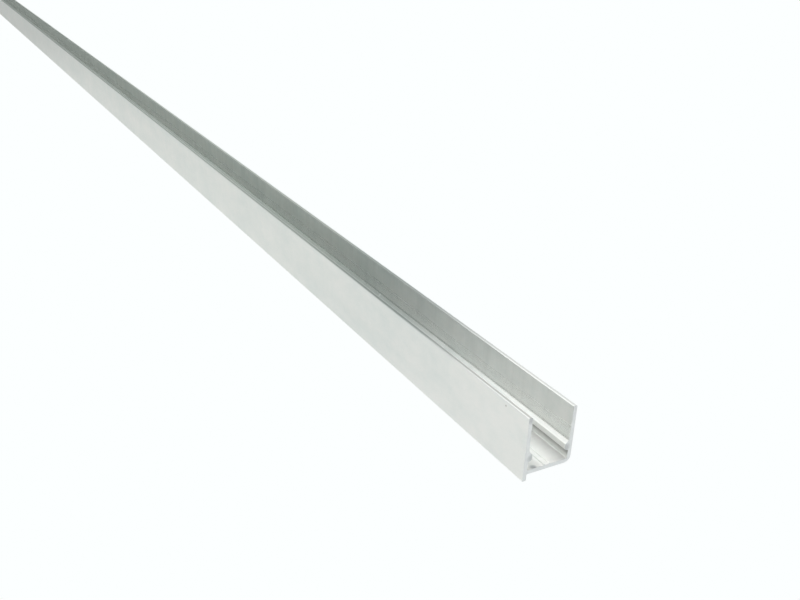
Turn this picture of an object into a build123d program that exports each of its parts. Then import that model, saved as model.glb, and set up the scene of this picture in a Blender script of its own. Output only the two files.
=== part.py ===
"""Mill-finish aluminium edge channel for 16 mm sheet, one extruded length of stock.

The section is a U with its mouth up. The leg on the -X side runs on below the web as a drip lip.
Low on the inner face of each leg is a bead with a sloping top that the sheet stands on, and its nose
is rounded underneath. Two fine ribs run along the floor of the slot.

The channel lies as it rests on a level floor: on the inner edge of its drip lip and on the round
heel under the other leg, so the whole section leans a little towards +X.
The stock runs along Y. The origin is on the floor, under the middle of the channel's box.
"""

import os
from math import asin, atan2, degrees, hypot

from build123d import *

# Stock length and the slot that takes the sheet, in millimetres
stock_length = 2100.0
slot_width = 16.5
slot_depth = 20.0

# Wall thicknesses and the drip lip below the web
leg_wall = 1.5
web_wall = 1.5
drip_drop = 2.5

# Radii of the section: the heel, the slot's bottom corners, the broken edges and the sharp inside corners
heel_radius = 2.5
groove_radius = 0.4
edge_radius = 0.3
root_radius = 0.3

# Seat bead on each leg: its reach into the slot, then its heights one above the other from the floor
bead_reach = 1.45
groove_height = 3.3
bead_nose = 2.5
bead_ramp = 1.45
bead_radius = 0.3
nose_radius = 1.0
ramp_radius = 0.5

# Fine ribs on the floor of the slot
rib_height = 0.4
rib_width = 0.8
rib_spacing = 2.0
rib_radius = 0.15

# Section planes that the features share, from the outer face of the lipped leg and the web's underside
outer_width = slot_width + 2 * leg_wall
lipped_face = leg_wall
plain_face = leg_wall + slot_width
slot_floor = web_wall
leg_top = web_wall + slot_depth
slot_centre = leg_wall + slot_width / 2


def bead_corners(face, inward):
    """Corners of one bead from the top of its ramp down to the slot floor, as (x, z, radius).

    face is the x of the leg's inner face, and inward is +1 or -1 towards the slot.
    """
    crest = face + inward * bead_reach
    underside = slot_floor + groove_height
    nose_top = underside + bead_nose
    ramp_top = nose_top + bead_ramp
    return [
        (face, ramp_top, ramp_radius),
        (crest, nose_top, bead_radius),
        (crest, underside, nose_radius),
        (face, underside, root_radius),
        (face, slot_floor, groove_radius),
    ]


def rib_corners(centre):
    """Corners of one floor rib, from its +X foot over the crest to its -X foot."""
    half_width = rib_width / 2
    return [
        (centre + half_width, slot_floor, 0.0),
        (centre, slot_floor + rib_height, rib_radius),
        (centre - half_width, slot_floor, 0.0),
    ]


def section_corners():
    """Corners of the whole section, anticlockwise from the outer edge of the drip lip."""
    underside_and_heel = [
        (0.0, -drip_drop, edge_radius),
        (lipped_face, -drip_drop, edge_radius),
        (lipped_face, 0.0, root_radius),
        (outer_width, 0.0, heel_radius),
    ]
    plain_leg_top = [
        (outer_width, leg_top, edge_radius),
        (plain_face, leg_top, edge_radius),
    ]
    floor_ribs = [
        *rib_corners(slot_centre + rib_spacing / 2),
        *rib_corners(slot_centre - rib_spacing / 2),
    ]
    lipped_leg_top = [
        (lipped_face, leg_top, edge_radius),
        (0.0, leg_top, edge_radius),
    ]
    return [
        *underside_and_heel,
        *plain_leg_top,
        *bead_corners(plain_face, -1),
        *floor_ribs,
        *reversed(bead_corners(lipped_face, +1)),
        *lipped_leg_top,
    ]


def resting_lean():
    """Angle in degrees that the section leans towards +X when it lies on a level floor.

    The floor is the tangent under two round edges, the lip's inner edge and the heel.
    """
    across = (outer_width - heel_radius) - (lipped_face - edge_radius)
    rise = heel_radius - (edge_radius - drip_drop)
    return degrees(atan2(rise, across) + asin((edge_radius - heel_radius) / hypot(across, rise)))


def channel():
    """The extruded channel, leaned to its rest and set on the floor."""
    corners = section_corners()
    points = [(x, z) for x, z, radius in corners]
    radii = [radius for x, z, radius in corners]
    with BuildPart() as stock:
        with BuildSketch(Plane.XZ):
            with BuildLine():
                FilletPolyline(*points, radius=radii, close=True)
            make_face()
        extrude(amount=stock_length / 2, both=True)
    leaned = Rot(0, resting_lean(), 0) * stock.part
    box = leaned.bounding_box()
    return Pos(-box.center().X, 0, -box.min.Z) * leaned


channel_profile = channel()
print(f"leans {resting_lean():.2f} degrees, section {channel_profile.volume / stock_length:.1f} mm2")

os.makedirs("parts", exist_ok=True)
export_step(channel_profile, "parts/channel_profile.step")
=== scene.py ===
"""Looks of a mill-finish aluminium edge channel for 16 mm sheet: one length of stock on a white floor.

The section is carried along its length as one swept skin with a sawn cap at each end, and it stands for
the plain solid of the frame. Section sizes are millimetres, and everything placed in the scene is metres.
The stock runs along Y, its slot opens upwards, and the section leans a little towards +X, as it rests.
"""

import logging
from dataclasses import dataclass, field
from enum import Enum
from math import asin, atan2, cos, hypot, pi, radians, sin, tau

import bpy
import numpy as np
from bpy.types import Material, Mesh, Node, NodeSocket as Socket, NodeTree, Object, World
from mathutils import Matrix, Vector


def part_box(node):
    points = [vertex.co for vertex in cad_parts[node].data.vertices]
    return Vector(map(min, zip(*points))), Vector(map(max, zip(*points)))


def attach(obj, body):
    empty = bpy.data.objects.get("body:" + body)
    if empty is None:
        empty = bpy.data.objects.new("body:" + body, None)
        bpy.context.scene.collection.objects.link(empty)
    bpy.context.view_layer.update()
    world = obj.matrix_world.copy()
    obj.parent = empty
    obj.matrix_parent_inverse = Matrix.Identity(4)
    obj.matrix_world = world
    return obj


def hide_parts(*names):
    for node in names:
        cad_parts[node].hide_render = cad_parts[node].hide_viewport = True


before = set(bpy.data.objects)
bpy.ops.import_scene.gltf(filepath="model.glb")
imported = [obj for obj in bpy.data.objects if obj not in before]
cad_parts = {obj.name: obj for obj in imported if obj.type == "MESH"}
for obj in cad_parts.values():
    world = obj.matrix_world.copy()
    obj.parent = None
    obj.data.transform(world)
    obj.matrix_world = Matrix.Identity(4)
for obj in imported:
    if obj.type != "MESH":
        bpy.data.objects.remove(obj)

MM = 0.001
STOCK_NODE = "channel_profile"
STOCK_BODY = "root"
GRAIN_MAP = "around_and_along"
# Vertex attribute with painted shade in X, added roughness in Y and banding in Z
SHADE_ROUGHNESS_NAME = "shade_and_roughness"
LOG = logging.getLogger("edge_channel")

# Range that most values of a noise lie in
NOISE_MIDDLE = (0.35, 0.65)

Colour = tuple[float, float, float]
Point = tuple[float, float, float]
Pair = tuple[float, float]
Value = Socket | float | tuple[float, ...]


class Skin(Enum):
    """The two finishes of the stock, with the material slot that each one has."""

    MILL = 0
    SAWN = 1


@dataclass(frozen=True)
class Outline:
    """A closed outline as whole arrays, anticlockwise, in millimetres.

    Args:
        points: Places (x, z), one row for each.
        normals: Outward unit normals (x, z), one row for each point.
        run: Length round the outline from the first point to each point.
        perimeter: Length once round.
    """

    points: np.ndarray
    normals: np.ndarray
    run: np.ndarray
    perimeter: float


@dataclass(frozen=True)
class ChannelSection:
    """Sizes of the extruded section in millimetres, and the outline that they give.

    x runs from the outer face of the lipped leg, and z from the underside of the web.
    """

    slot_width: float = 16.5
    slot_depth: float = 20.0
    leg_wall: float = 1.5
    web_wall: float = 1.5
    drip_drop: float = 2.5
    heel_radius: float = 2.5
    groove_radius: float = 0.4
    edge_radius: float = 0.3
    root_radius: float = 0.3
    bead_reach: float = 1.45
    groove_height: float = 3.3
    bead_nose: float = 2.5
    bead_ramp: float = 1.45
    bead_radius: float = 0.3
    nose_radius: float = 1.0
    ramp_radius: float = 1.6
    rib_height: float = 0.4
    rib_width: float = 0.8
    rib_spacing: float = 2.0
    rib_radius: float = 0.15
    arc_steps: int = 8
    flat_step: float = 0.45
    same_point: float = 1e-6

    @property
    def outer_width(self) -> float:
        """Width over both legs."""
        return self.slot_width + 2 * self.leg_wall

    @property
    def leg_top(self) -> float:
        """Height of the leg tops over the web's underside."""
        return self.web_wall + self.slot_depth

    @property
    def bead_underside(self) -> float:
        """Height of the underside of the beads."""
        return self.web_wall + self.groove_height

    @property
    def nose_top(self) -> float:
        """Height where a bead's nose ends and its sloping top starts."""
        return self.bead_underside + self.bead_nose

    def bead_corners(self, face: float, inward: int) -> list[Point]:
        """Corners of one seat bead from the top of its ramp down to the slot floor.

        Args:
            face: x of the leg's inner face.
            inward: +1 or -1, towards the slot.

        Returns:
            Corners as (x, z, radius).
        """
        crest = face + inward * self.bead_reach
        return [
            (face, self.nose_top + self.bead_ramp, self.ramp_radius),
            (crest, self.nose_top, self.bead_radius),
            (crest, self.bead_underside, self.nose_radius),
            (face, self.bead_underside, self.root_radius),
            (face, self.web_wall, self.groove_radius),
        ]

    def rib_corners(self, centre: float) -> list[Point]:
        """Corners of one floor rib, from its +X foot over the crest to its -X foot.

        Args:
            centre: x of the rib's middle.

        Returns:
            Corners as (x, z, radius).
        """
        half = self.rib_width / 2
        return [
            (centre + half, self.web_wall, 0.0),
            (centre, self.web_wall + self.rib_height, self.rib_radius),
            (centre - half, self.web_wall, 0.0),
        ]

    def corners(self) -> np.ndarray:
        """Corners of the whole section, anticlockwise from the drip lip.

        Returns:
            Rows of (x, z, radius).
        """
        lipped_face = self.leg_wall
        plain_face = self.leg_wall + self.slot_width
        middle = lipped_face + self.slot_width / 2
        return np.array([
            (0.0, -self.drip_drop, self.edge_radius),
            (lipped_face, -self.drip_drop, self.edge_radius),
            (lipped_face, 0.0, self.root_radius),
            (self.outer_width, 0.0, self.heel_radius),
            (self.outer_width, self.leg_top, self.edge_radius),
            (plain_face, self.leg_top, self.edge_radius),
            *self.bead_corners(plain_face, -1),
            *self.rib_corners(middle + self.rib_spacing / 2),
            *self.rib_corners(middle - self.rib_spacing / 2),
            *reversed(self.bead_corners(lipped_face, +1)),
            (lipped_face, self.leg_top, self.edge_radius),
            (0.0, self.leg_top, self.edge_radius),
        ])

    def resting_lean(self) -> float:
        """How far the section leans towards +X on a level floor.

        The floor is the common tangent under the lip's inner edge and the heel.

        Returns:
            The angle in radians.
        """
        across = (self.outer_width - self.heel_radius) - (self.leg_wall - self.edge_radius)
        rise = self.heel_radius - (self.edge_radius - self.drip_drop)
        return atan2(rise, across) + asin((self.edge_radius - self.heel_radius) / hypot(across, rise))

    def standing(self, x: np.ndarray, z: np.ndarray) -> tuple[np.ndarray, np.ndarray]:
        """Section places turned by the resting lean about Y, with the section's box set on the floor.

        Args:
            x: Places across the section, in millimetres.
            z: Places up the section, in millimetres.

        Returns:
            The same places across and up the scene, in millimetres.
        """
        lean = self.resting_lean()
        turned = self.outline().points @ np.array([[cos(lean), -sin(lean)], [sin(lean), cos(lean)]])
        low, high = turned.min(axis=0), turned.max(axis=0)
        across = x * cos(lean) + z * sin(lean) - (low[0] + high[0]) / 2
        return across, z * cos(lean) - x * sin(lean) - low[1]

    def outline(self) -> Outline:
        """The section with its corners rounded and its flats divided.

        Each corner of radius r that turns by the angle w starts r * tan(w / 2) before the corner. Its arc
        is the start point turned round the centre, which lies r to the inner side, by 0 to w in even steps.

        Returns:
            The outline of the section.
        """
        table = self.corners()
        corner, radius = table[:, :2], table[:, 2]
        into = corner - np.roll(corner, 1, axis=0)
        into /= np.linalg.norm(into, axis=1, keepdims=True)
        out = np.roll(into, -1, axis=0)
        cross = into[:, 0] * out[:, 1] - into[:, 1] * out[:, 0]
        turn = np.arctan2(cross, (into * out).sum(axis=1))
        start = corner - into * (radius * np.tan(np.abs(turn) / 2))[:, None]
        inner_side = np.sign(turn)[:, None] * np.stack([-into[:, 1], into[:, 0]], axis=1)
        centre = start + inner_side * radius[:, None]
        angle = turn[:, None] * np.linspace(0.0, 1.0, self.arc_steps + 1)
        spoke = (start - centre)[:, None, :]
        turned_x = np.cos(angle) * spoke[..., 0] - np.sin(angle) * spoke[..., 1]
        turned_z = np.sin(angle) * spoke[..., 0] + np.cos(angle) * spoke[..., 1]
        arcs = centre[:, None, :] + np.stack([turned_x, turned_z], axis=-1)
        keys = arcs.reshape(-1, 2)
        apart = np.linalg.norm(keys - np.roll(keys, 1, axis=0), axis=1) > self.same_point
        return self.divided(keys[apart])

    def divided(self, keys: np.ndarray) -> Outline:
        """The closed line through the key points with every long run divided evenly.

        Args:
            keys: Points (x, z) in order round the section.

        Returns:
            The outline with its normals, which are the tangent turned a quarter turn outwards.
        """
        ahead = np.roll(keys, -1, axis=0) - keys
        length = np.linalg.norm(ahead, axis=1)
        parts = np.maximum(1, np.ceil(length / self.flat_step)).astype(int)
        segment = np.repeat(np.arange(len(keys)), parts)
        first = np.cumsum(parts) - parts
        share = (np.arange(parts.sum()) - first[segment]) / parts[segment]
        points = keys[segment] + share[:, None] * ahead[segment]
        step = np.roll(points, -1, axis=0) - points
        step_length = np.linalg.norm(step, axis=1)
        run = np.concatenate([[0.0], np.cumsum(step_length)[:-1]])
        direction = step / step_length[:, None]
        tangent = direction + np.roll(direction, 1, axis=0)
        tangent /= np.linalg.norm(tangent, axis=1, keepdims=True)
        normals = np.stack([tangent[:, 1], -tangent[:, 0]], axis=1)
        return Outline(points, normals, run, float(step_length.sum()))


@dataclass(frozen=True)
class DieRelief:
    """Shallow lines that the die leaves along the stock, as sunk relief in millimetres.

    Args:
        depth: Depth of the deepest line.
        lines: Number of waves that are summed.
        widest: Longest wave round the section.
        finest: Shortest wave round the section.
        smallest: Height of the lowest wave against the highest.
        drift_length: Length along the stock over which the waves drift aside and back.
        seed: Start of the random draws.
    """

    depth: float = 0.007
    lines: int = 36
    widest: float = 5.0
    finest: float = 1.4
    smallest: float = 0.3
    drift_length: float = 900.0
    seed: int = 7

    def sunk(self, outline: Outline, along: np.ndarray) -> np.ndarray:
        """Depth below the true surface at each point of the outline and each place along the stock.

        It is a sum of waves round the outline, each with a whole number of turns so that it closes. The
        phase of each wave drifts slowly along the stock, and the sum is shifted so that it only sinks.

        Args:
            outline: The section's outline.
            along: Places along the stock, in millimetres.

        Returns:
            A row for each place along, with a column for each outline point.
        """
        rng = np.random.default_rng(self.seed)
        turns = np.round(outline.perimeter / rng.uniform(self.finest, self.widest, self.lines))
        size = rng.uniform(self.smallest, 1.0, self.lines) / self.lines**0.5
        phase = rng.uniform(0.0, tau, self.lines)
        drift = rng.uniform(-1.0, 1.0, self.lines)
        round_angle = tau * turns[:, None] * outline.run / outline.perimeter + phase[:, None]
        slow = drift[:, None] * np.sin(tau * along / self.drift_length + phase[:, None])
        wave = np.einsum("k,kj,ki->ji", size, np.cos(slow), np.sin(round_angle))
        wave += np.einsum("k,kj,ki->ji", size, np.sin(slow), np.cos(round_angle))
        return self.depth * (wave.max() - wave) / np.ptp(wave)


def bell(distance: np.ndarray, width: float) -> np.ndarray:
    """1 at no distance and less on either side: e to the minus square of distance over width."""
    return np.exp(-((distance / width) ** 2))


@dataclass(frozen=True)
class ShadeAndRoughness:
    """Painted shade, rougher and banded places round the section. Places and widths are millimetres.

    The dullness is shade painted into the metal's colour on the leg tops, in the corners under the beads, on
    the ramps and on the slot floor.

    Args:
        lipped_rim: Painted shade on the lipped leg's top along its darkest line.
        lipped_rim_middle: x of that line.
        lipped_rim_width: Width of its bell.
        plain_rim: Painted shade on the plain leg's top.
        rim_depth: How far below a leg's top its painted shade starts.
        rim_rise: Height over which it grows to the full.
        corner_from_wall: Distance from the wall of the darkest point of the painted shade under a bead.
        corner_drop: Distance of that point below the bead's underside.
        corner_width: Width of its bell.
        ramp: Painted shade on a bead's sloping top.
        ramp_edge: Breadth that stays bright along the ramp's upper edge.
        ramp_foot: Height over the nose where the ramp's painted shade starts.
        ramp_line: Further darkening along a narrow line on the ramp.
        ramp_line_from_wall: Distance of that line from the wall.
        ramp_line_width: Width of its bell.
        floor: Painted shade on the slot's floor.
        floor_height: Height over the web up to which a point is on the floor.
        shaded_floor: Further painted shade on the floor beside the lipped leg.
        shaded_floor_to: x where that further shade ends.
        shaded_floor_fade: Breadth over which it fades before that.
        floor_rougher: Roughness added to the floor.
        wall_smoother: Roughness taken off the inner walls just over the beads.
        wall_foot: Height over the web where the smoother wall starts.
        wall_fade: Height over which it fades, and distance of its end below the leg top.
        outside_banding: Strength of the bands outside the slot, where the inside has 1.
        tolerance: How far a point may lie outside the slot and still count as inside it.
    """

    lipped_rim: float = 0.86
    lipped_rim_middle: float = 0.6
    lipped_rim_width: float = 0.5
    plain_rim: float = 0.28
    rim_depth: float = 0.30
    rim_rise: float = 0.20
    corner_from_wall: float = 0.4
    corner_drop: float = 0.7
    corner_width: float = 1.15
    ramp: float = 0.22
    ramp_edge: float = 0.05
    ramp_foot: float = 0.1
    ramp_line: float = 0.14
    ramp_line_from_wall: float = 0.66
    ramp_line_width: float = 0.12
    floor: float = 0.08
    floor_height: float = 0.05
    shaded_floor: float = 0.14
    shaded_floor_to: float = 7.9
    shaded_floor_fade: float = 0.8
    floor_rougher: float = 0.10
    wall_smoother: float = 0.14
    wall_foot: float = 7.0
    wall_fade: float = 6.0
    outside_banding: float = 0.15
    tolerance: float = 0.01

    def round_section(self, section: ChannelSection, outline: Outline) -> np.ndarray:
        """How much painted shade each point has, how much rougher than the rest and how strongly banded.

        The painted shade lies on the leg tops, in the corner under each bead's nose, on each ramp and on
        the floor of the slot, most of all beside the lipped leg. Each ramp also has a narrow darker line
        along it.

        Args:
            section: Sizes of the section.
            outline: The section's outline.

        Returns:
            A row of painted shade, added roughness and banding for each point of the outline.
        """
        x, z = outline.points.T
        half_slot = section.slot_width / 2
        from_wall = half_slot - np.abs(x - section.leg_wall - half_slot)
        inside = (from_wall > -self.tolerance) & (z > section.web_wall - self.tolerance)
        # Painted shade on the leg tops, strongest along a line on the lipped leg
        on_top = np.clip((z - section.leg_top + self.rim_depth) / self.rim_rise, 0.0, 1.0)
        lipped_rim = self.lipped_rim * bell(x - self.lipped_rim_middle, self.lipped_rim_width)
        rims = on_top * np.where(x < section.outer_width / 2, lipped_rim, self.plain_rim)
        # Painted shade in the corner under each bead's nose
        above = z - (section.bead_underside - self.corner_drop)
        corners = inside * bell(np.hypot(from_wall - self.corner_from_wall, above), self.corner_width)
        # Painted shade on each ramp, with a narrow darker line along it
        on_ramp = inside & (z > section.nose_top + self.ramp_foot) & (from_wall > self.ramp_edge)
        ramp_line = self.ramp_line * bell(from_wall - self.ramp_line_from_wall, self.ramp_line_width)
        # Painted shade on the slot floor, more of it beside the lipped leg
        on_floor = inside & (z < section.web_wall + self.floor_height)
        floor_shade = self.shaded_floor * np.clip((self.shaded_floor_to - x) / self.shaded_floor_fade, 0.0, 1.0)
        shade_parts = [rims, corners, on_ramp * (self.ramp + ramp_line), on_floor * (self.floor + floor_shade)]
        on_wall = inside & (z > section.web_wall + self.wall_foot)
        fade = np.clip((section.leg_top - self.wall_fade - z) / self.wall_fade, 0.0, 1.0)
        rougher = self.floor_rougher * on_floor - self.wall_smoother * on_wall * fade
        banding = np.where(inside, 1.0, self.outside_banding)
        return np.stack([np.maximum.reduce(shade_parts), rougher, banding], axis=1)


class NodeSheet:
    """A node tree with short ways to add nodes and join them."""

    def __init__(self, tree: NodeTree) -> None:
        """Starts on an existing tree."""
        self.tree = tree

    def add(self, kind: str, label: str = "", **settings: object) -> Node:
        """A new node.

        Args:
            kind: Blender's name of the node type, without the ShaderNode in front.
            label: What the node is for.
            settings: Properties of the node, by name.

        Returns:
            The node.
        """
        node = self.tree.nodes.new("ShaderNode" + kind)
        node.label = label
        for name, value in settings.items():
            setattr(node, name, value)
        return node

    def feed(self, node: Node, **inputs: Value) -> Node:
        """Sets or links inputs of a node, where an underscore in a name stands for a space.

        Args:
            node: The node that takes the inputs.
            inputs: A value, a colour or a socket to link from, for each input's name. A name of the
                form i0 is the input's number.

        Returns:
            The same node.
        """
        for name, value in inputs.items():
            key = int(name[1:]) if name[0] == "i" and name[1:].isdigit() else name.replace("_", " ")
            if isinstance(value, Socket):
                self.tree.links.new(value, node.inputs[key])
            elif node.inputs[key].type == "RGBA":
                node.inputs[key].default_value = (*value, 1.0)
            else:
                node.inputs[key].default_value = value
        return node

    def math(self, operation: str, first: Value, second: Value = 0.0) -> Socket:
        """Output of a maths node on two numbers or sockets."""
        return self.feed(self.add("Math", operation=operation), i0=first, i1=second).outputs[0]

    def scaled(self, vector: Value, scale: Value) -> Socket:
        """A vector with each of its parts multiplied."""
        node = self.add("VectorMath", operation="MULTIPLY")
        return self.feed(node, i0=vector, i1=scale).outputs[0]

    def distance(self, label: str, place: Value, middle: Point) -> Socket:
        """Distance of a place from a fixed point."""
        node = self.add("VectorMath", label, operation="DISTANCE")
        return self.feed(node, i0=place, i1=middle).outputs["Value"]

    def mix(self, label: str, share: Value, first: Value, second: Value) -> Socket:
        """The colour at a share of the way from a first colour to a second."""
        node = self.add("Mix", label, data_type="RGBA")
        return self.feed(node, i0=share, i6=first, i7=second).outputs[2]

    def noise(self, vector: Value, scale: Value, detail: float, roughness: float = 0.5) -> Socket:
        """Output of a noise texture, 0 to 1 with most of it near 0.5."""
        node = self.add("TexNoise", noise_dimensions="3D")
        return self.feed(node, Vector=vector, Scale=scale, Detail=detail, Roughness=roughness).outputs["Fac"]

    def ramp(self, label: str, share: Socket, stops: list[tuple[float, Colour]]) -> Socket:
        """A colour that runs in straight lines through stops.

        Args:
            label: What the ramp is for.
            share: Where on the ramp, from 0 to 1.
            stops: Places on the ramp in rising order, each with its colour.

        Returns:
            The colour at the share.
        """
        node = self.feed(self.add("ValToRGB", label), Fac=share)
        elements = node.color_ramp.elements
        for place, colour in stops[1:-1]:
            elements.new(place)
        for element, (place, colour) in zip(elements, stops):
            element.position = place
            element.color = (*colour, 1.0)
        return node.outputs["Color"]

    def spread(self, value: Value, low: float, high: float, to_low: Value, to_high: Value) -> Socket:
        """A value mapped in a straight line from one range to another, and held there."""
        node = self.feed(self.add("MapRange"), Value=value)
        return self.feed(node, From_Min=low, From_Max=high, To_Min=to_low, To_Max=to_high).outputs["Result"]


def tinted(colour: Colour, level: float) -> Colour:
    """A colour with each of its parts multiplied by one level."""
    return tuple(part * level for part in colour)


def node_group(
    name: str, inputs: dict[str, str], outputs: dict[str, str],
) -> tuple[NodeSheet, dict[str, Socket], dict[str, Socket]]:
    """A new shader node group with named sockets.

    Args:
        name: The group's name.
        inputs: Socket type by socket name, such as Float or Vector.
        outputs: The same for the outputs.

    Returns:
        The group's sheet, its input sockets by name and the sockets that feed its outputs by name.
    """
    tree = bpy.data.node_groups.new(name, "ShaderNodeTree")
    for side, sockets in (("INPUT", inputs), ("OUTPUT", outputs)):
        for socket, kind in sockets.items():
            tree.interface.new_socket(name=socket, in_out=side, socket_type="NodeSocket" + kind)
    entry = tree.nodes.new("NodeGroupInput")
    leave = tree.nodes.new("NodeGroupOutput")
    taken = {socket: entry.outputs[socket] for socket in inputs}
    given = {socket: leave.inputs[socket] for socket in outputs}
    return NodeSheet(tree), taken, given


def grain_group() -> NodeTree:
    """Fine lines along one direction: noise read from coordinates that are squeezed in that direction.

    The height is fine noise over broader noise. The streaks are the fine noise's peaks, faint in patches.

    Returns:
        A group with Vector, Fineness and Breakup in, and Height and Streaks out.
    """
    sheet, taken, given = node_group(
        "metal_grain",
        {"Vector": "Vector", "Fineness": "Float", "Breakup": "Float"},
        {"Height": "Float", "Streaks": "Float"},
    )
    broader, fine_share, broad_share = 0.22, 0.7, 0.5
    bare, whole, faintest = 0.3, 0.6, 0.3
    fine = sheet.noise(taken["Vector"], taken["Fineness"], detail=4.0, roughness=0.65)
    broad = sheet.noise(taken["Vector"], sheet.math("MULTIPLY", taken["Fineness"], broader), detail=2.0)
    fine_height = sheet.math("MULTIPLY", fine, fine_share)
    height = sheet.math("ADD", fine_height, sheet.math("MULTIPLY", broad, broad_share))
    patch_scale = sheet.math("MULTIPLY", taken["Fineness"], taken["Breakup"])
    patches = sheet.noise(taken["Vector"], patch_scale, detail=1.0)
    patches = sheet.spread(patches, bare, whole, faintest, 1.0)
    streaks = sheet.math("MULTIPLY", sheet.spread(fine, *NOISE_MIDDLE, 0.0, 1.0), patches)
    sheet.tree.links.new(height, given["Height"])
    sheet.tree.links.new(streaks, given["Streaks"])
    return sheet.tree


def bloom_group() -> NodeTree:
    """Soft blotches of oxide and handling, as cloudy noise.

    Returns:
        A group with Vector and Size in, and Blotches out.
    """
    inputs = {"Vector": "Vector", "Size": "Float"}
    sheet, taken, given = node_group("oxide_bloom", inputs, {"Blotches": "Float"})
    clear, blotched = 0.32, 0.68
    scale = sheet.math("DIVIDE", 1.0, taken["Size"])
    clouds = sheet.noise(taken["Vector"], scale, detail=5.0, roughness=0.75)
    sheet.tree.links.new(sheet.spread(clouds, clear, blotched, 0.0, 1.0), given["Blotches"])
    return sheet.tree


def new_material(name: str) -> tuple[Material, NodeSheet, Node]:
    """A new material with nodes.

    Args:
        name: The material's name.

    Returns:
        The material, the sheet of its nodes and its shader node.
    """
    material = bpy.data.materials.new(name)
    material.use_nodes = True
    return material, NodeSheet(material.node_tree), material.node_tree.nodes["Principled BSDF"]


def section_place(across: float, up: float, y: float) -> Point:
    """A place of the section in the scene.

    Args:
        across: x in the section, in millimetres.
        up: z in the section, in millimetres.
        y: Place along the stock, in metres.

    Returns:
        The place in metres.
    """
    x, z = ChannelSection().standing(np.array([across]), np.array([up]))
    return x[0] * MM, y, z[0] * MM


@dataclass(frozen=True)
class Mark:
    """A small mark on the stock, as a ball of tone round a point of the section.

    Args:
        name: What the mark is.
        across: x of its middle in the section, in millimetres.
        along: Distance of its middle from the near end, in millimetres.
        up: z of its middle in the section, in millimetres.
        radius: Its size, in millimetres.
        colour: The metal's colour in it.
        roughness: The metal's roughness in it.
        core: Share of the radius within which the mark is full.
    """

    name: str
    across: float
    along: float
    up: float
    radius: float
    colour: Colour
    roughness: float
    core: float = 0.4

    def laid_over(
        self, sheet: NodeSheet, place: Socket, tone: Socket, roughness: Socket,
    ) -> tuple[Socket, Socket]:
        """Lays the mark over the metal's colour and roughness.

        Args:
            sheet: The material's sheet.
            place: The point on the stock.
            tone: The colour so far.
            roughness: The roughness so far.

        Returns:
            The colour and the roughness with the mark.
        """
        near_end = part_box(STOCK_NODE)[0].y
        middle = section_place(self.across, self.up, near_end + self.along * MM)
        reach = sheet.distance(self.name, place, middle)
        share = sheet.spread(reach, self.radius * MM * self.core, self.radius * MM, 1.0, 0.0)
        marked = sheet.mix(self.name, share, tone, self.colour)
        return marked, sheet.spread(share, 0.0, 1.0, roughness, self.roughness)


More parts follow.
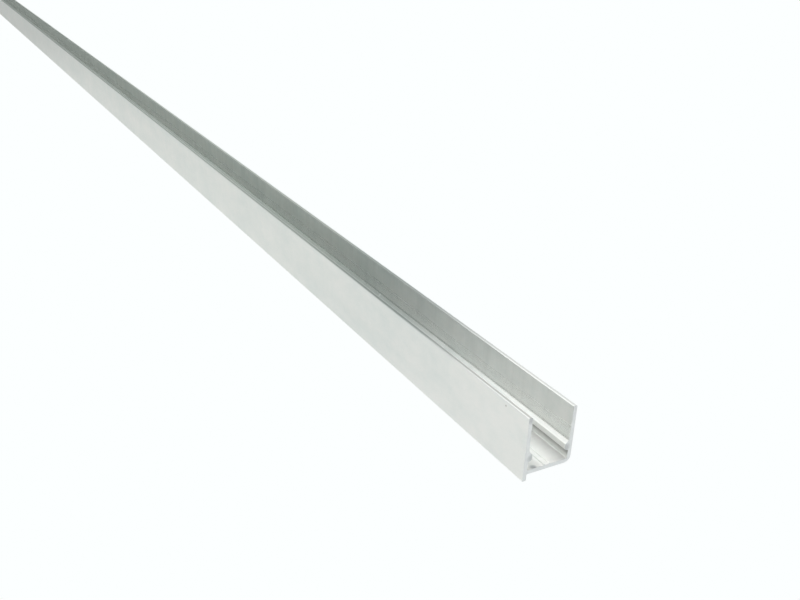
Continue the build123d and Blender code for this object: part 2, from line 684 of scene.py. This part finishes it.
@dataclass(frozen=True)
class MillFinish:
    """Bare extruded aluminium: pale grey, fine lines along the stock, blotches of oxide.

    Args:
        bright: Colour of the clean metal.
        dull: Colour under the blotches of oxide.
        anisotropy: How much more the reflection spreads across the lines than along them.
        smooth: Roughness between the lines.
        rough: Roughness on them.
        line_stretch: Scale of the fine lines' pattern along each axis.
        line_fineness: Fineness of that pattern across the stock.
        line_breakup: Fineness of the patches that break the lines up, against theirs.
        line_height: Height of the lines' bump, in metres.
        cloud_stretch: Scale of the blotches' pattern along each axis.
        cloud_size: Size of a blotch, in metres.
        band_stretch: Scale along each axis of the bands that run across the stock.
        band_fineness: Fineness of the bands along the stock.
        band_depth: Share of the brightness that a band takes.
        fully_shaded: Share of the brightness that is left where the painted shade is full.
        marks: Single marks that the picture shows.
    """

    bright: Colour = (0.99, 0.985, 0.965)
    dull: Colour = (0.885, 0.915, 0.90)
    anisotropy: float = 1.0
    smooth: float = 0.30
    rough: float = 0.36
    line_stretch: Point = (1.0, 0.012, 1.0)
    line_fineness: float = 1400.0
    line_breakup: float = 0.04
    line_height: float = 0.00001
    cloud_stretch: Point = (1.0, 0.6, 1.0)
    cloud_size: float = 0.016
    band_stretch: Point = (0.12, 1.0, 0.12)
    band_fineness: float = 260.0
    band_depth: float = 0.06
    fully_shaded: float = 0.39
    marks: tuple[Mark, ...] = (
        Mark("speck", 0.0, 12.5, 19.6, 0.45, (0.58, 0.57, 0.54), 0.5),
        Mark("nick", 17.3, 132.5, 8.05, 0.9, (0.97, 0.98, 0.97), 0.75),
        # A darker patch on the slot floor beside the lipped leg at the near end
        Mark("dark_patch", 4.6, 0.8, 1.6, 1.5, (0.52, 0.54, 0.55), 0.5),
    )

    def material(self, grain: NodeTree, bloom: NodeTree) -> Material:
        """The material, with its colour, roughness and bump from the two groups.

        Args:
            grain: Group of fine lines.
            bloom: Group of soft blotches.

        Returns:
            The finished material.
        """
        material, sheet, shader = new_material("mill_finish")
        place = sheet.add("TexCoord").outputs["Object"]
        lines = sheet.add("Group", "die lines", node_tree=grain)
        stretched = sheet.scaled(place, self.line_stretch)
        sheet.feed(lines, Vector=stretched, Fineness=self.line_fineness, Breakup=self.line_breakup)
        # Painted shade in X, added roughness in Y, banding in Z
        attribute = sheet.add("Attribute", "shade_and_roughness", attribute_name=SHADE_ROUGHNESS_NAME)
        shade_parts = sheet.feed(sheet.add("SeparateXYZ"), Vector=attribute.outputs["Vector"])
        tone = self.tone(sheet, place, bloom, shade_parts)
        level = sheet.spread(lines.outputs["Streaks"], 0.0, 1.0, self.smooth, self.rough)
        level = sheet.math("ADD", level, shade_parts.outputs["Y"])
        for mark in self.marks:
            tone, level = mark.laid_over(sheet, place, tone, level)
        bump = sheet.add("Bump", "die lines")
        sheet.feed(bump, Height=lines.outputs["Height"], Distance=self.line_height, Strength=1.0)
        tangent = sheet.add("Tangent", "across the grain", direction_type="UV_MAP", uv_map=GRAIN_MAP)
        sheet.feed(shader, Base_Color=tone, Metallic=1.0, Roughness=level, Anisotropic=self.anisotropy)
        sheet.feed(shader, Normal=bump.outputs["Normal"], Tangent=tangent.outputs["Tangent"])
        return material

    def tone(self, sheet: NodeSheet, place: Socket, bloom: NodeTree, shade_parts: Node) -> Socket:
        """The metal's colour: blotches, made darker by the bands and by the painted shade.

        Args:
            sheet: The material's sheet.
            place: The point on the stock.
            bloom: Group of soft blotches.
            shade_parts: Node with the painted shade in X and the banding in Z.

        Returns:
            The colour.
        """
        clouds = sheet.add("Group", "oxide", node_tree=bloom)
        sheet.feed(clouds, Vector=sheet.scaled(place, self.cloud_stretch), Size=self.cloud_size)
        mixed = sheet.mix("tone", clouds.outputs["Blotches"], self.dull, self.bright)
        stretched = sheet.scaled(place, self.band_stretch)
        bands = sheet.noise(stretched, self.band_fineness, detail=3.0, roughness=0.6)
        band = sheet.spread(bands, *NOISE_MIDDLE, 0.0, self.band_depth)
        unbanded = sheet.math("SUBTRACT", 1.0, sheet.math("MULTIPLY", band, shade_parts.outputs["Z"]))
        # The painted shade darkens the colour down to the fully shaded share
        left_after_shade = sheet.spread(shade_parts.outputs["X"], 0.0, 1.0, 1.0, self.fully_shaded)
        kept = sheet.math("MULTIPLY", unbanded, left_after_shade)
        grey = sheet.feed(sheet.add("CombineXYZ"), X=kept, Y=kept, Z=kept).outputs["Vector"]
        return sheet.scaled(mixed, grey)


@dataclass(frozen=True)
class SawnFinish:
    """The cut ends: brighter bare metal with the shallow arcs of a saw blade.

    Args:
        bright: Colour of the cleanly cut metal.
        dull: Colour under the blotches of oxide.
        smooth: Roughness between the saw's scratches.
        rough: Roughness on them.
        mark_pitch: Distance from one arc to the next, in metres.
        mark_height: Height of the bump, in metres.
        arc_share: Share of the arcs in the bump, against the scratches.
        blade_centre: Middle of the blade, in metres.
        scratch_stretch: Scale of the scratches' pattern along each axis.
        scratch_fineness: Fineness of that pattern.
        scratch_breakup: Fineness of the patches that break the scratches up, against theirs.
        cloud_size: Size of a blotch, in metres.
        darkened: Colour of the darker places on the cut face.
        darkened_places: x and z of those places in the section, in millimetres.
        darkened_reach: Distances, in metres, up to which a darker place is full and at which it ends.
    """

    bright: Colour = (0.82, 0.84, 0.85)
    dull: Colour = (0.73, 0.75, 0.76)
    smooth: float = 0.42
    rough: float = 0.58
    mark_pitch: float = 0.0007
    mark_height: float = 0.00002
    arc_share: float = 0.35
    blade_centre: Point = (-0.070, 0.0, 0.120)
    scratch_stretch: Point = (1.0, 1.0, 0.15)
    scratch_fineness: float = 2200.0
    scratch_breakup: float = 0.1
    cloud_size: float = 0.004
    darkened: Colour = (0.58, 0.60, 0.61)
    darkened_places: tuple[Pair, ...] = ((2.5, 6.0), (17.0, 6.0), (1.0, 20.8))
    darkened_reach: Pair = (0.0007, 0.0019)

    def material(self, grain: NodeTree, bloom: NodeTree) -> Material:
        """The material, whose arcs are waves on the distance from the blade's centre.

        Args:
            grain: Group of fine lines.
            bloom: Group of soft blotches.

        Returns:
            The finished material.
        """
        material, sheet, shader = new_material("sawn_end")
        place = sheet.add("TexCoord").outputs["Object"]
        flat = sheet.scaled(place, (1.0, 0.0, 1.0))
        from_blade = sheet.distance("blade", flat, self.blade_centre)
        turns = sheet.math("MULTIPLY", from_blade, tau / self.mark_pitch)
        arcs = sheet.math("MULTIPLY", sheet.math("SINE", turns), self.arc_share)
        scratches = sheet.add("Group", "saw scratches", node_tree=grain)
        stretched = sheet.scaled(place, self.scratch_stretch)
        sheet.feed(scratches, Vector=stretched, Fineness=self.scratch_fineness, Breakup=self.scratch_breakup)
        height = sheet.math("ADD", arcs, scratches.outputs["Height"])
        clouds = sheet.feed(sheet.add("Group", "oxide", node_tree=bloom), Vector=place, Size=self.cloud_size)
        tone = sheet.mix("tone", clouds.outputs["Blotches"], self.dull, self.bright)
        # Darker places on the cut face at the two bead ends and at the lipped leg's top
        for across, up in self.darkened_places:
            reach = sheet.distance("torn place", flat, section_place(across, up, 0.0))
            tone = sheet.mix("torn place", sheet.spread(reach, *self.darkened_reach, 1.0, 0.0), tone, self.darkened)
        level = sheet.spread(scratches.outputs["Streaks"], 0.0, 1.0, self.smooth, self.rough)
        bump = sheet.feed(sheet.add("Bump", "saw marks"), Height=height, Distance=self.mark_height)
        sheet.feed(shader, Base_Color=tone, Metallic=1.0, Roughness=level, Normal=bump.outputs["Normal"])
        return material


@dataclass
class EdgeChannel:
    """The length of channel stock: its swept skin, its sawn caps and their finishes.

    Args:
        section: Sizes of the section.
        relief: Lines of the die along the stock.
        shade_and_roughness: Painted shade, rougher and banded places.
        mill: Finish of the skin.
        sawn: Finish of the cut ends.
        rings: Number of rings between the two bevels.
        cut_bevel: Width of the bevel at each cut, in millimetres.
        sharp_angle: Turn between two faces from which their edge is sharp.
    """

    section: ChannelSection = field(default_factory=ChannelSection)
    relief: DieRelief = field(default_factory=DieRelief)
    shade_and_roughness: ShadeAndRoughness = field(default_factory=ShadeAndRoughness)
    mill: MillFinish = field(default_factory=MillFinish)
    sawn: SawnFinish = field(default_factory=SawnFinish)
    rings: int = 150
    cut_bevel: float = 0.08
    sharp_angle: float = radians(28.0)

    def stations(self) -> tuple[np.ndarray, np.ndarray]:
        """The rings of the skin: one on each cut, and the rest between the bevels in even steps.

        Returns:
            Places of the rings along Y in metres, and how far each is drawn in, in millimetres.
        """
        low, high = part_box(STOCK_NODE)
        bevel = self.cut_bevel * MM
        middle = np.linspace(low.y + bevel, high.y - bevel, self.rings)
        along = np.concatenate([[low.y], middle, [high.y]])
        drawn_in = np.zeros(len(along))
        drawn_in[[0, -1]] = self.cut_bevel
        return along, drawn_in

    def surface(self) -> tuple[np.ndarray, Outline]:
        """The skin as a grid of points in metres, with a row for each ring and a column for each point.

        A point is the outline point moved inwards by the relief and by the bevel at the cut, then turned
        by the resting lean about Y and set in the frame: the middle at x = 0, the lowest on the floor.

        Returns:
            The grid of shape (rings, points, 3) and the outline.
        """
        outline = self.section.outline()
        along, drawn_in = self.stations()
        sink = self.relief.sunk(outline, along / MM) + drawn_in[:, None]
        flat = outline.points[None] - sink[..., None] * outline.normals[None]
        x, z = self.section.standing(flat[..., 0], flat[..., 1])
        y = np.broadcast_to(along[:, None], x.shape)
        return np.stack([x * MM, y, z * MM], axis=-1), outline

    def build(self) -> Object:
        """The stock as one closed mesh: quads between the rings and one face on each end.

        Returns:
            The undressed stock.
        """
        grid, outline = self.surface()
        rows, columns = grid.shape[:2]
        index = np.arange(rows * columns).reshape(rows, columns)
        beside = np.roll(index, -1, axis=1)
        quads = np.stack([index[:-1], index[1:], beside[1:], beside[:-1]], axis=-1).reshape(-1, 4)
        loops = np.concatenate([quads.ravel(), index[0], index[-1][::-1]])
        sizes = np.concatenate([np.full(len(quads), 4), [columns, columns]])
        mesh = bpy.data.meshes.new("channel_stock")
        mesh.vertices.add(rows * columns)
        mesh.vertices.foreach_set("co", grid.reshape(-1).astype(np.float32))
        mesh.loops.add(len(loops))
        mesh.loops.foreach_set("vertex_index", loops.astype(np.int32))
        mesh.polygons.add(len(sizes))
        mesh.polygons.foreach_set("loop_start", (np.cumsum(sizes) - sizes).astype(np.int32))
        mesh.polygons.foreach_set("material_index", self.finishes(rows, columns))
        mesh.polygons.foreach_set("use_smooth", np.arange(len(sizes)) < len(quads))
        mesh.update(calc_edges=True)
        self.lay_out(mesh, grid, outline)
        self.write_shade_and_roughness(mesh, outline, rows)
        mesh.validate()
        mesh.set_sharp_from_angle(angle=self.sharp_angle)
        stock = bpy.data.objects.new("channel_stock", mesh)
        bpy.context.scene.collection.objects.link(stock)
        return stock

    def finishes(self, rows: int, columns: int) -> np.ndarray:
        """The material slot of each face: sawn on the caps and the bevel beside them, mill elsewhere.

        Args:
            rows: Number of rings.
            columns: Number of points in a ring.

        Returns:
            A slot number for each face.
        """
        slots = np.full((rows - 1, columns), Skin.MILL.value, dtype=np.int32)
        slots[[0, -1]] = Skin.SAWN.value
        return np.concatenate([slots.ravel(), [Skin.SAWN.value] * 2]).astype(np.int32)

    def lay_out(self, mesh: Mesh, grid: np.ndarray, outline: Outline) -> None:
        """Unwraps the skin in metres, with U round the section and V along the stock.

        The last column ends at the full length round, so no face runs back over the whole map. A cap
        takes its x and z.

        Args:
            mesh: The mesh whose loops are in the order that build gives them.
            grid: The skin's points.
            outline: The outline that the grid was swept from.
        """
        rows, columns = grid.shape[:2]
        around = np.append(outline.run, outline.perimeter) * MM
        along = grid[:, 0, 1]
        left, right = np.arange(columns), np.arange(1, columns + 1)
        u = around[np.stack([left, left, right, right], axis=-1)]
        lower, upper = along[:-1], along[1:]
        v = np.stack([lower, upper, upper, lower], axis=-1)
        skin = np.stack(np.broadcast_arrays(u[None], v[:, None]), axis=-1).reshape(-1, 2)
        caps = np.concatenate([grid[0][:, [0, 2]], grid[-1][::-1][:, [0, 2]]])
        layer = mesh.uv_layers.new(name=GRAIN_MAP)
        layer.uv.foreach_set("vector", np.concatenate([skin, caps]).astype(np.float32).ravel())

    def write_shade_and_roughness(self, mesh: Mesh, outline: Outline, rows: int) -> None:
        """Writes the painted shade, added roughness and banding of each vertex, which are the same on every
        ring.

        Args:
            mesh: The stock's mesh, with the outline's points ring after ring.
            outline: The outline that the rings repeat.
            rows: Number of rings.
        """
        # Painted shade, added roughness and banding, the same on every ring
        shade_and_roughness = np.tile(self.shade_and_roughness.round_section(self.section, outline), (rows, 1))
        layer = mesh.attributes.new(name=SHADE_ROUGHNESS_NAME, type="FLOAT_VECTOR", domain="POINT")
        layer.data.foreach_set("vector", shade_and_roughness.astype(np.float32).ravel())

    def dress(self, stock: Object) -> None:
        """Gives the stock its two finishes, in the order of their slots.

        Args:
            stock: The undressed stock.
        """
        grain, bloom = grain_group(), bloom_group()
        finishes = {Skin.MILL: self.mill, Skin.SAWN: self.sawn}
        for skin in Skin:
            stock.data.materials.append(finishes[skin].material(grain, bloom))

    def make(self) -> Object:
        """Builds and dresses the stock, and sets it in the frame in place of the plain solid.

        Returns:
            The finished stock.
        """
        stock = self.build()
        self.dress(stock)
        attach(stock, STOCK_BODY)
        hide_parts(STOCK_NODE)
        return stock


@dataclass
class Studio:
    """The white floor and the soft light all round, which is dimmer beyond the far end of the stock.

    The light is given by its way in, taken from the middle of the scene. Its cosine with +Y tells the far
    cone and the near end apart. Between them it changes round Y with the angle up from +X.

    Args:
        floor_half: Half the floor's side, in metres.
        white: The floor and the surroundings where they are seen directly.
        floor_level: Brightness of the floor as it is reflected.
        floor_along: Place along Y in metres and share of that brightness there.
        floor_reach: Distance from the middle, either way along Y, that these places lie within.
        ring: Angle up from +X round Y, in degrees, and brightness there, for the light on the middle.
        ring_tint: Colour of that light.
        near_light: Light from behind the near end.
        far_light: Light from the rim of the cone about +Y.
        distant_light: Light from within that cone.
        horizon_light: Light from its very middle, along the stock.
        near_edge: The two cosines between which the ring changes to the near light.
        far_edge: The same for the far light.
        distant_edge: The same from the far to the distant light.
        horizon_edge: The same from the distant to the horizon light.
    """

    floor_half: float = 30.0
    white: Colour = (0.9735, 1.0, 1.0)
    floor_level: Colour = (0.88, 0.90, 0.88)
    floor_along: tuple[Pair, ...] = ((-0.95, 1.0), (-0.55, 0.88), (-0.30, 0.84), (0.10, 0.66))
    floor_reach: float = 1.0
    ring: tuple[Pair, ...] = (
        (0.0, 0.45), (25.0, 0.45), (45.0, 0.95), (65.0, 1.90),
        (85.0, 2.10), (110.0, 1.85), (130.0, 2.30), (160.0, 0.05),
    )
    ring_tint: Colour = (0.985, 1.0, 0.985)
    near_light: Colour = (0.68, 0.69, 0.70)
    far_light: Colour = (0.32, 0.37, 0.365)
    distant_light: Colour = (0.56, 0.615, 0.58)
    horizon_light: Colour = (0.33, 0.365, 0.345)
    near_edge: Pair = (0.30, 0.10)
    far_edge: Pair = (0.70, 0.775)
    distant_edge: Pair = (0.775, 0.86)
    horizon_edge: Pair = (0.94, 0.985)

    def floor(self) -> None:
        """Lays a level floor at z = 0 that glows evenly, so that nothing throws a shadow on it."""
        half = self.floor_half
        corners = [(half * x, half * y, 0.0) for x, y in ((-1, -1), (1, -1), (1, 1), (-1, 1))]
        mesh = bpy.data.meshes.new("studio_floor")
        mesh.from_pydata(corners, [], [(0, 1, 2, 3)])
        mesh.materials.append(self.floor_material())
        floor = bpy.data.objects.new("studio_floor", mesh)
        bpy.context.scene.collection.objects.link(floor)

    def floor_material(self) -> Material:
        """The floor's glow, which grows dimmer along Y in reflections and stays white where it is seen.

        Returns:
            The material.
        """
        material, sheet, shader = new_material("studio_white")
        place = sheet.feed(sheet.add("SeparateXYZ"), Vector=sheet.add("TexCoord").outputs["Object"])
        share = sheet.spread(place.outputs["Y"], -self.floor_reach, self.floor_reach, 0.0, 1.0)
        stops = [
            ((y / self.floor_reach + 1.0) / 2.0, tinted(self.floor_level, level))
            for y, level in self.floor_along
        ]
        shown = self.shown_white(sheet, sheet.ramp("reflected floor", share, stops))
        sheet.feed(shader, Base_Color=(0.0, 0.0, 0.0), Roughness=1.0, Specular_IOR_Level=0.0)
        sheet.feed(shader, Emission_Color=shown, Emission_Strength=1.0)
        return material

    def shown_white(self, sheet: NodeSheet, colour: Socket) -> Socket:
        """A colour for reflections that turns into the plain white where it is seen directly."""
        return sheet.mix("backdrop", sheet.add("LightPath").outputs["Is Camera Ray"], colour, self.white)

    def ring_light(self, sheet: NodeSheet, way: Node) -> Socket:
        """The light round Y as a ramp from +X over the top to -X.

        A ramp's colours end at 1, so it holds shares of the brightest level and is scaled up after it.

        Args:
            sheet: The world's sheet.
            way: Node with the direction's parts.

        Returns:
            Its colour.
        """
        angle = sheet.math("ARCTAN2", way.outputs["Z"], way.outputs["X"])
        brightest = max(level for degrees_up, level in self.ring)
        stops = [
            (degrees_up / 180.0, tinted(self.ring_tint, level / brightest))
            for degrees_up, level in self.ring
        ]
        ramp = sheet.ramp("round the stock", sheet.math("DIVIDE", angle, pi), stops)
        return sheet.scaled(ramp, (brightest, brightest, brightest))

    def surround(self) -> World:
        """The world, whose light is mixed from the ring, the near end and the far cone by its way in.

        Returns:
            The world.
        """
        world = bpy.data.worlds.new("studio")
        world.use_nodes = True
        sheet = NodeSheet(world.node_tree)
        way = sheet.feed(sheet.add("SeparateXYZ"), Vector=sheet.add("TexCoord").outputs["Generated"])
        light = self.ring_light(sheet, way)
        for name, edge, colour in (
            ("near end", self.near_edge, self.near_light),
            ("far cone", self.far_edge, self.far_light),
            ("distance", self.distant_edge, self.distant_light),
            ("horizon", self.horizon_edge, self.horizon_light),
        ):
            light = sheet.mix(name, sheet.spread(way.outputs["Y"], *edge, 0.0, 1.0), light, colour)
        sheet.feed(world.node_tree.nodes["Background"], Color=self.shown_white(sheet, light))
        return world

    def make(self) -> None:
        """Sets the floor, the surroundings and the plain view transform."""
        self.floor()
        bpy.context.scene.world = self.surround()
        bpy.context.scene.view_settings.view_transform = "Standard"


@dataclass(frozen=True)
class PictureCamera:
    """The camera at the picture's angle. The picture is 800 by 600.

    Args:
        place: Where it stands, in metres.
        heading: Turn of its sight line from +Y towards +X.
        pitch: Turn of its sight line up from level.
        roll: Clockwise turn about its own sight line.
        focal_pixels: Focal length in pixels of the picture.
        picture_width: Width of the picture in pixels.
        sensor_width: Width of the sensor, in millimetres.
        clip: Nearest and furthest distance that it shows, in metres.
    """

    place: Point = (-0.14063, -1.23494, 0.19104)
    heading: float = radians(26.43)
    pitch: float = radians(-28.08)
    roll: float = radians(6.11)
    focal_pixels: float = 878.1
    picture_width: int = 800
    sensor_width: float = 36.0
    clip: Pair = (0.01, 200.0)

    def make(self) -> None:
        """Sets up the scene's camera, turned by its heading, then its pitch, then its roll."""
        forward = Vector((
            sin(self.heading) * cos(self.pitch),
            cos(self.heading) * cos(self.pitch),
            sin(self.pitch),
        ))
        level_right = forward.cross(Vector((0.0, 0.0, 1.0))).normalized()
        level_up = level_right.cross(forward)
        up = level_up * cos(self.roll) + level_right * sin(self.roll)
        right = forward.cross(up)
        data = bpy.data.cameras.new("picture_camera")
        data.sensor_width = self.sensor_width
        data.lens = self.focal_pixels * self.sensor_width / self.picture_width
        data.clip_start, data.clip_end = self.clip
        camera = bpy.data.objects.new("picture_camera", data)
        turn = Matrix((right, up, -forward)).transposed().to_4x4()
        camera.matrix_world = Matrix.Translation(self.place) @ turn
        bpy.context.scene.collection.objects.link(camera)
        bpy.context.scene.camera = camera


def main() -> None:
    """Builds the camera, the studio and the stock."""
    logging.basicConfig(level=logging.INFO, format="%(name)s: %(message)s")
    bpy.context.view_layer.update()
    PictureCamera().make()
    Studio().make()
    stock = EdgeChannel().make()
    LOG.info("%s: %d faces", stock.name, len(stock.data.polygons))


if __name__ == "__main__":
    main()
